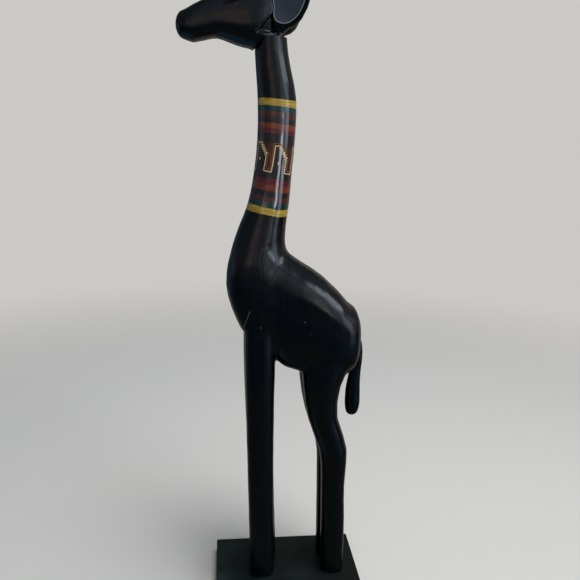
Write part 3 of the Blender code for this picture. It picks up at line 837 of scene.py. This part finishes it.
def motif_unit(start, top, foot, rng):
    """One repeat of the fret: a rising line, a short flat top, a ragged flight of steps, a line down to the
    foot, and the foot."""
    steps = 5
    path = [(-0.0014, 0.002 - foot), (0.0006, 0.0), (0.0060, 0.0003)]
    for k in range(steps):
        u, v = 0.0060 + 0.0112 * k / steps, -0.0170 * k / steps
        path.append((u + rng.uniform(0.0042, 0.0050), v - rng.uniform(0.0000, 0.0006)))
        path.append((u + rng.uniform(0.0004, 0.0010), v - rng.uniform(0.0028, 0.0034)))
    path += [(0.0184, -0.0172), (0.0182, -0.0195), (0.0172, -foot), (0.0284, -foot - 0.0003)]
    return [(start + u, top + v) for u, v in path]


def outline_unit(start, top, foot):
    """The thin line that follows the fret, a little above it."""
    path = [(-0.0026, 0.0046 - foot), (-0.0022, 0.0022), (0.0002, 0.0034), (0.0078, 0.0034)]
    path += [(0.0112, 0.0002), (0.0214, -0.0154), (0.0212, -0.0190), (0.0198, 0.0034 - foot)]
    path += [(0.0270, 0.0032 - foot)]
    return [(start + u, top + v) for u, v in path]


def field_sheet(name, neck, start, top, foot):
    """The painted ground between one repeat and the next, as a thin sheet that hugs the neck."""
    across, down = 8, 18
    shape = bmesh.new()
    rings = []
    for j in range(down + 1):
        left = float(np.interp(j / down, *zip(*FIELD_LEFT)))
        height = top + 0.0005 - (foot - 0.0036) * j / down
        over, under = [], []
        for i in range(across + 1):
            point, normal = neck.at(start + left + (FIELD_RIGHT - left) * i / across, height)
            over.append(shape.verts.new(point + normal * MOTIF_PROUD * 0.35))
            under.append(shape.verts.new(point - normal * MOTIF_PROUD * 0.60))
        rings.append(over + under[::-1])
    join_rings(shape, rings)
    for ring in (rings[0], rings[-1]):
        for i in range(across):
            shape.faces.new((ring[i], ring[i + 1], ring[-2 - i], ring[-1 - i]))
    return finish_shape(shape, name)


def sampled(path, step=0.0006):
    """Points along a path, about a step apart, without its last one."""
    samples = []
    for (x0, z0), (x1, z1) in zip(path, path[1:]):
        count = max(1, round(math.dist((x0, z0), (x1, z1)) / step))
        samples += [(x0 + (x1 - x0) * t / count, z0 + (z1 - z0) * t / count) for t in range(count)]
    return samples


def ribbon(name, neck, path, width, proud, rng):
    """A flat painted line, of uneven width, along a path that goes right round the neck."""
    placed = [neck.at(*sample) for sample in sampled(path)]
    rings = []
    for k, (point, normal) in enumerate(placed):
        before, after = placed[k - 1][0], placed[(k + 1) % len(placed)][0]
        side = normal.cross(after - before).normalized()
        half = width / 2 * (1 + rng.uniform(-0.12, 0.12))
        rings.append([point + side * half * across + normal * proud * up for across, up in LINE_SECTION])
    return hoop(name, rings)


def dab(name, neck, around, height, half_width, half_height, proud):
    """A painted oval, domed a little."""
    shape = bmesh.new()
    centre, normal = neck.at(around, height)
    top = shape.verts.new(centre + normal * proud * 1.4)
    rings = []
    for reach, up in ((0.55, 1.2), (0.9, 0.7), (1.0, -0.6)):
        ring = []
        for k in range(20):
            angle = 2 * math.pi * k / 20
            aside, above = half_width * reach * math.cos(angle), half_height * reach * math.sin(angle)
            point, outward = neck.at(around + aside, height + above)
            ring.append(shape.verts.new(point + outward * proud * up))
        rings.append(ring)
    for k in range(20):
        shape.faces.new((top, rings[0][k - 1], rings[0][k]))
    join_rings(shape, rings)
    shape.faces.new(rings[-1])
    return finish_shape(shape, name)


def make_motif(surface, cream, rust, umber):
    """A cream fret right round the neck with dabs in it, a rust line that follows it, and umber grounds."""
    neck = Neck(surface)
    rng = random.Random(11)
    shares = np.array([share for share, _, _ in MOTIF_REPEATS])
    widths = shares / shares.sum() * neck.length
    starts = np.concatenate([[0.0], np.cumsum(widths)])[:-1] + MOTIF_START
    path, outline = [], []
    for k, (start, (_, top, foot)) in enumerate(zip(starts, MOTIF_REPEATS)):
        path += motif_unit(start, top, foot, rng)
        outline += outline_unit(start, top, foot)
        mesh = dab(f"motif_dab_{k + 1}", neck, start + 0.0072, top - 0.0236, 0.0014, 0.0022, MOTIF_PROUD)
        piece(mesh.name, mesh, cream)
        mesh = field_sheet(f"motif_field_{k + 1}", neck, start, top, foot)
        piece(mesh.name, mesh, umber)
    for name, line, width, proud, paint in (
        ("motif_line", path, MOTIF_LINE, MOTIF_PROUD, cream),
        ("motif_outline", outline, MOTIF_LINE * 0.9, MOTIF_PROUD * 0.7, rust),
    ):
        back_to_start = (line[0][0] + neck.length, line[0][1])
        mesh = ribbon(name, neck, line + [back_to_start], width, proud, rng)
        piece(name, mesh, paint)


# --- Head, ears, horns and tail ---

# The cheek's rear edge, a crisp lip that stands proud of the head's root, as points of X and height
CHEEK_LIP = ((-0.0648, 0.8525), (-0.0590, 0.8575), (-0.0541, 0.8640), (-0.0478, 0.8706), (-0.0430, 0.8775))
CHEEK_PROUD, CHEEK_DEPTH = 0.0006, 0.0030

# The lower and upper lids of the carved eye, as points of X and height, and their carved lines
EYE_LINES = [
    ((-0.1105, 0.8850), (-0.1025, 0.8868), (-0.0932, 0.8883), (-0.0852, 0.8905), (-0.0785, 0.8932)),
    ((-0.1090, 0.8856), (-0.1015, 0.8925), (-0.0930, 0.8958), (-0.0850, 0.8952), (-0.0795, 0.8930)),
]
EYE_LINE_DEPTH, EYE_LINE_WIDTH = 0.00070, 0.00075

# Fine scratches on the cheek
SCRATCHES = 22
SCRATCH_DEPTH, SCRATCH_WIDTH = 0.00007, 0.0006

# Where the head's skin gets finer for its marks, likewise
CHEEK_AREA = (-0.072, -0.032, 0.845, 0.885)
EYE_AREA = (-0.114, -0.075, 0.880, 0.900)

# An ear, as the part's source sets it: its root, its leans and twist, and the hollow of its dish
EAR_ROOT = Vector((-0.0350, 0.0175, 0.8560))
EAR_LEAN_BACK, EAR_FLARE, EAR_TWIST = math.radians(19), math.radians(20), math.radians(22)
EAR_DISH_REACH = (0.0300, 0.0290)
EAR_DISH_HEIGHT = 0.0480
EAR_RIM_RADIUS = 0.0007
EAR_RIM_TURNS, EAR_RIM_SIDES = 96, 8


def make_head(material):
    joint = NECK_TOP + JOINT_GAP
    down = Vector((0.0, 0.0, -JOINT_STRETCH))
    down_and_back = Vector((JOINT_STRETCH, 0.0, -JOINT_STRETCH)) * math.sqrt(0.5)
    skin = skin_of("head_block_skin", ["head_block"], "head", joint, down, down_and_back)

    def marked(points):
        return (in_area(points, CHEEK_AREA) | in_area(points, EYE_AREA)) & (abs(points[:, 1]) > 0.010)

    refine(skin, marked)
    points, normals = points_and_normals(skin)
    height = points[:, 2] - PLINTH_TOP
    depth = ripple(points, 0.022, 0.00022, 6)
    flat = np.stack([points[:, 0], height], axis=1)
    beside = smoothstep(abs(points[:, 1]), 0.010, 0.016)
    for side, seed in ((-1, 8), (1, 9)):
        here = points[:, 1] * side > 0.012
        for path in EYE_LINES:
            away, _ = distance_to_path(flat[here], path)
            depth[here] -= EYE_LINE_DEPTH * dip(away, EYE_LINE_WIDTH)
        rng = random.Random(seed)
        for _ in range(SCRATCHES):
            x, z = rng.uniform(-0.096, -0.064), rng.uniform(0.862, 0.888)
            length = rng.uniform(0.003, 0.009)
            scratch = [(x, z), (x + 0.55 * length, z + 0.83 * length)]
            away, _ = distance_to_path(flat[here], scratch)
            depth[here] -= SCRATCH_DEPTH * dip(away, SCRATCH_WIDTH)
    points = points + depth[:, None] * normals
    lip_x = np.interp(height, [z for _, z in CHEEK_LIP], [x for x, _ in CHEEK_LIP])
    beyond = (flat[:, 0] - lip_x) * math.cos(math.radians(45))
    level = hump(height, 0.8490, 0.8560, 0.8730, 0.8790)
    hollow = hump(beyond, -0.0002, 0.0014, 0.012, 0.020)
    proud = dip(beyond + 0.0010, 0.0009)
    inwards = level * beside * (CHEEK_DEPTH * hollow - CHEEK_PROUD * proud)
    points[:, 1] -= np.sign(points[:, 1]) * inwards
    set_points(skin, points)
    cut_at_joint(skin, joint, keep_above=True)
    piece("head_block_skin", finish_mesh(skin), material, "head_block")


def ear_rim(name, skin):
    """The crisp rim of an ear's dish: a fine bead along the ridge that the dish leaves on the ear. Also
    tells which of the skin's faces are inside it."""
    low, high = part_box(name.replace("_rim", ""))
    sign = 1 if low.y + high.y > 0 else -1
    root = Vector((EAR_ROOT.x, sign * EAR_ROOT.y, EAR_ROOT.z + PLINTH_TOP))
    lean = Matrix.Rotation(EAR_LEAN_BACK, 4, "Y") @ Matrix.Rotation(-sign * EAR_FLARE, 4, "X")
    place = Matrix.Translation(root) @ lean @ Matrix.Rotation(sign * EAR_TWIST, 4, "Z")
    into = (place.to_3x3() @ Vector((0.0, -sign, 0.0))).normalized()
    surface = surface_of(skin)
    turns = EAR_RIM_TURNS

    def hit(k, reach):
        """Where a ray into the dish meets the ear, and how far off, at a turn and a share of the reach."""
        angle = 2 * math.pi * k / turns
        aside, up = EAR_DISH_REACH[0] * math.cos(angle), EAR_DISH_REACH[1] * math.sin(angle)
        spot = place @ Vector((aside * reach, sign * 0.05, EAR_DISH_HEIGHT + up * reach))
        point, _, _, far = surface.ray_cast(spot, into)
        return point, far

    ridges = []
    for k in range(turns):
        found = [(hit(k, reach)[1], reach) for reach in np.linspace(0.70, 1.25, 34)]
        ridges.append(min((far, reach) for far, reach in found if far is not None)[1])
    ridges = np.mean([np.roll(ridges, shift) for shift in range(-3, 4)], axis=0)
    middles = []
    for k, reach in enumerate(ridges):
        while hit(k, reach)[0] is None:
            reach -= 0.01
        middles.append(hit(k, reach)[0])
    rings = []
    for k, middle in enumerate(middles):
        along = (middles[(k + 1) % turns] - middles[k - 1]).normalized()
        outward = along.cross(into).normalized()
        ring = []
        for j in range(EAR_RIM_SIDES):
            angle = 2 * math.pi * j / EAR_RIM_SIDES
            ring.append(middle + (outward * math.cos(angle) - into * math.sin(angle)) * EAR_RIM_RADIUS)
        rings.append(ring)
    back = place.inverted()
    centres = np.array([back @ face.center for face in skin.polygons])
    aside, up = centres[:, 0] / EAR_DISH_REACH[0], (centres[:, 2] - EAR_DISH_HEIGHT) / EAR_DISH_REACH[1]
    angles = np.arctan2(up, aside) % (2 * math.pi) / (2 * math.pi) * turns
    edge = np.interp(angles, np.arange(turns + 1), np.append(ridges, ridges[0]))
    inside = (np.hypot(aside, up) < edge) & (centres[:, 1] * sign > -0.001)
    return hoop(name, rings), inside


def make_small_parts(materials):
    """The ears, horns and tail, in the material of each kind; an ear's dish and its rim have their own, a
    painted sheen and a painted highlight.
    """
    for node in ("left_ear", "right_ear", "left_horn", "right_horn", "tail"):
        kind = node.split("_")[-1]
        skin = skin_of(node + "_skin", [node], kind)
        points, normals = points_and_normals(skin)
        depth = ripple(points, 0.014, 0.00018, 7)
        set_points(skin, points + depth[:, None] * normals)
        piece(node + "_skin", finish_mesh(skin), materials[kind], node)
        if kind == "ear":
            rim, inside = ear_rim(node + "_rim", skin)
            piece(rim.name, rim, materials["rim"])
            skin.materials.append(materials["dish"])
            skin.polygons.foreach_set("material_index", inside.astype(np.int32))


def dress_cad_nodes(materials):
    """The record's slots give each CAD node that still shows its procedural material."""
    for entry in frame["record"]["subparts"]:
        node, slot = frame["nodes"][entry["node"]], entry["material_slot"]
        if not node.hide_render and slot in materials:
            node.data.materials.clear()
            node.data.materials.append(materials[slot])


# --- Stage ---

BACKDROP = (0.60, 0.585, 0.56)

# The floor, and from where to where it fades into the backdrop
FLOOR_RADIUS, FLOOR_DROP = 40.0, 0.0005
FLOOR_FADE = (0.7, 2.4)

# The one lamp, and the place it points at
LAMP_PLACE, LAMP_AIM = Vector((0.6, -0.4, 2.6)), Vector((0.0, 0.0, 0.4))
LAMP_SIZE, LAMP_POWER, LAMP_COLOUR = 1.6, 55.0, (1.0, 0.98, 0.95)

# Soft windows of light round the statue, added up and mirrored in its lacquer: colour, azimuth from and to,
# elevation from and to, and softness, in degrees. Azimuth 0 is straight in front (-Y), 90 towards +X.
WINDOWS = [
    ((0.11, 0.13, 0.165), -90, -30, -1, 90, 9),
    ((0.16, 0.19, 0.22), -125, -80, -2, 6, 3),
    ((0.05, 0.08, 0.11), -180, -90, -22, 30, 8),
    ((0.22, 0.27, 0.35), -30, 105, -1, 90, 9),
    ((0.10, 0.13, 0.125), 105, 180, 24, 90, 6),
    ((0.10, 0.13, 0.125), -180, -105, 30, 90, 6),
    ((0.24, 0.22, 0.19), 105, 180, -90, 24, 6),
    ((0.22, 0.19, 0.16), -180, -130, -44, -18, 6),
    ((0.014, 0.038, 0.066), -130, 105, -26, -4, 3),
    ((0.050, 0.068, 0.066), -130, 105, -90, -26, 4),
    ((0.040, 0.130, 0.230), -180, -45, -90, -46, 5),
    ((0.04, 0.08, 0.15), 20, 75, -28, -15, 4),
    ((1.60, 0.86, 0.48), -28, -5, 7, 10, 2),
    ((2.5, 2.5, 2.45), 18, 27, -2, 4, 3),
    ((0.9, 1.0, 1.15), 32, 46, 7, 19, 3),
    ((2.0, 2.2, 2.4), 17, 26, 10, 15, 3),
    ((6.2, 6.8, 7.5), 34, 74, 20, 26, 3),
    ((0.65, 0.76, 0.92), 39, 60, -14, 19, 5),
    ((0.9, 1.05, 1.25), 44, 58, -8, 16, 4),
]


def make_world():
    """The windows, all black between them; the camera sees the plain backdrop instead."""
    world = bpy.data.worlds.new("studio")
    bpy.context.scene.world = world
    world.use_nodes = True
    nodes = Nodes(world.node_tree)
    axes = nodes.axes(nodes.add("ShaderNodeTexCoord").outputs["Generated"])
    towards = nodes.times(axes["Y"], -1.0)
    azimuth = nodes.math("DEGREES", nodes.math("ARCTAN2", axes["X"], towards))
    elevation = nodes.math("DEGREES", nodes.math("ARCSINE", axes["Z"]))
    total = (0.0, 0.0, 0.0)
    for colour, az_from, az_to, el_from, el_to, soft in WINDOWS:
        share = 1.0
        for angle, low, high in ((azimuth, az_from, az_to), (elevation, el_from, el_to)):
            if low > -180 and not (low == -90 and angle is elevation):
                share = nodes.times(share, nodes.span(angle, low - soft, low + soft))
            if high < 180 and not (high == 90 and angle is elevation):
                share = nodes.times(share, nodes.span(angle, high - soft, high + soft, 1.0, 0.0))
        shine = nodes.mix(share, (0.0, 0.0, 0.0), colour)
        total = nodes.vector("ADD", total, shine)
    seen = nodes.add("ShaderNodeLightPath").outputs["Is Camera Ray"]
    background = world.node_tree.nodes["Background"]
    nodes.put(background.inputs["Color"], nodes.mix(seen, total, BACKDROP))


def make_floor():
    """A wide sheet of pale paper that fades into the backdrop and isn't mirrored in the lacquer."""
    shape = bmesh.new()
    bmesh.ops.create_circle(shape, cap_ends=True, segments=96, radius=FLOOR_RADIUS)
    mesh = mesh_of(shape, "floor")
    floor = new_object("floor", mesh)
    floor.location.z = -FLOOR_DROP
    material, nodes, shader, place = new_material("floor_paper")
    fibres = nodes.noise(place, 300.0, 3.0)
    nodes.put(shader.inputs["Base Color"], nodes.mix(fibres, (0.70, 0.68, 0.65), (0.74, 0.72, 0.69)))
    shader.inputs["Roughness"].default_value = 0.9
    shader.inputs["Specular IOR Level"].default_value = 0.2
    paper = nodes.add("ShaderNodeEmission", {"Color": BACKDROP}).outputs[0]
    far = nodes.span(nodes.vector("LENGTH", place), *FLOOR_FADE)
    near_far = nodes.add("ShaderNodeMixShader", {0: far, 1: shader.outputs[0], 2: paper}).outputs[0]
    clear = nodes.add("ShaderNodeBsdfTransparent").outputs[0]
    mirrored = nodes.add("ShaderNodeLightPath").outputs["Is Glossy Ray"]
    seen = nodes.add("ShaderNodeMixShader", {0: mirrored, 1: near_far, 2: clear}).outputs[0]
    nodes.put(material.node_tree.nodes["Material Output"].inputs["Surface"], seen)
    mesh.materials.append(material)


def make_light():
    """A soft light from overhead that isn't mirrored in the lacquer."""
    lamp = bpy.data.lights.new("overhead", "AREA")
    lamp.shape = "DISK"
    lamp.size = LAMP_SIZE
    lamp.energy = LAMP_POWER
    lamp.color = LAMP_COLOUR
    light = new_object("overhead", lamp)
    light.location = LAMP_PLACE
    light.rotation_euler = (LAMP_AIM - LAMP_PLACE).to_track_quat("-Z", "Y").to_euler()
    light.visible_glossy = False


def make_camera():
    data = bpy.data.cameras.new("camera")
    data.lens = CAMERA_LENS
    data.sensor_width = 36.0
    camera = new_object("camera", data)
    azimuth, elevation = math.radians(CAMERA_AZIMUTH), math.radians(CAMERA_ELEVATION)
    flat = math.cos(elevation)
    back = Vector((math.sin(azimuth) * flat, -math.cos(azimuth) * flat, math.sin(elevation)))
    turn = (-back).to_track_quat("-Z", "Y").to_matrix().to_4x4()
    turn @= Matrix.Rotation(math.radians(CAMERA_ROLL), 4, "Z")
    camera.matrix_world = Matrix.Translation(CAMERA_PLACE) @ turn
    bpy.context.scene.camera = camera


def main():
    bpy.context.scene.view_settings.view_transform = "Standard"
    black = lacquer("black_lacquer")
    banded = lacquer("banded_lacquer", banded=True)
    # Sharp edges painted pale, partly for wear and partly as painted highlight.
    worn_and_highlit = lacquer("worn_edge_highlit_lacquer", worn_and_highlit=True)
    # The ears' rims in a painted highlight.
    highlit_rim = lacquer("painted_rim_highlight", sheen_colour=RIM_HIGHLIGHT_COLOUR)
    # The ears' dishes in a painted bluish sheen.
    dish_sheen = lacquer("painted_sheen_lacquer", worn_and_highlit=True, sheen_colour=DISH_SHEEN_COLOUR)
    surface = make_body(banded, black)
    cream, rust = enamel("cream_enamel", "cream"), enamel("rust_enamel", "rust")
    make_motif(surface, cream, rust, enamel("umber_wash", "umber"))
    make_head(worn_and_highlit)
    make_small_parts({"ear": worn_and_highlit, "dish": dish_sheen, "rim": highlit_rim, "horn": worn_and_highlit, "tail": black})
    plain = {"plinth_paint": plinth_paint(), "dowel_wood": dowel_wood(), "screw_steel": screw_steel()}
    dress_cad_nodes(plain)
    make_world()
    make_floor()
    make_light()
    make_camera()


main()
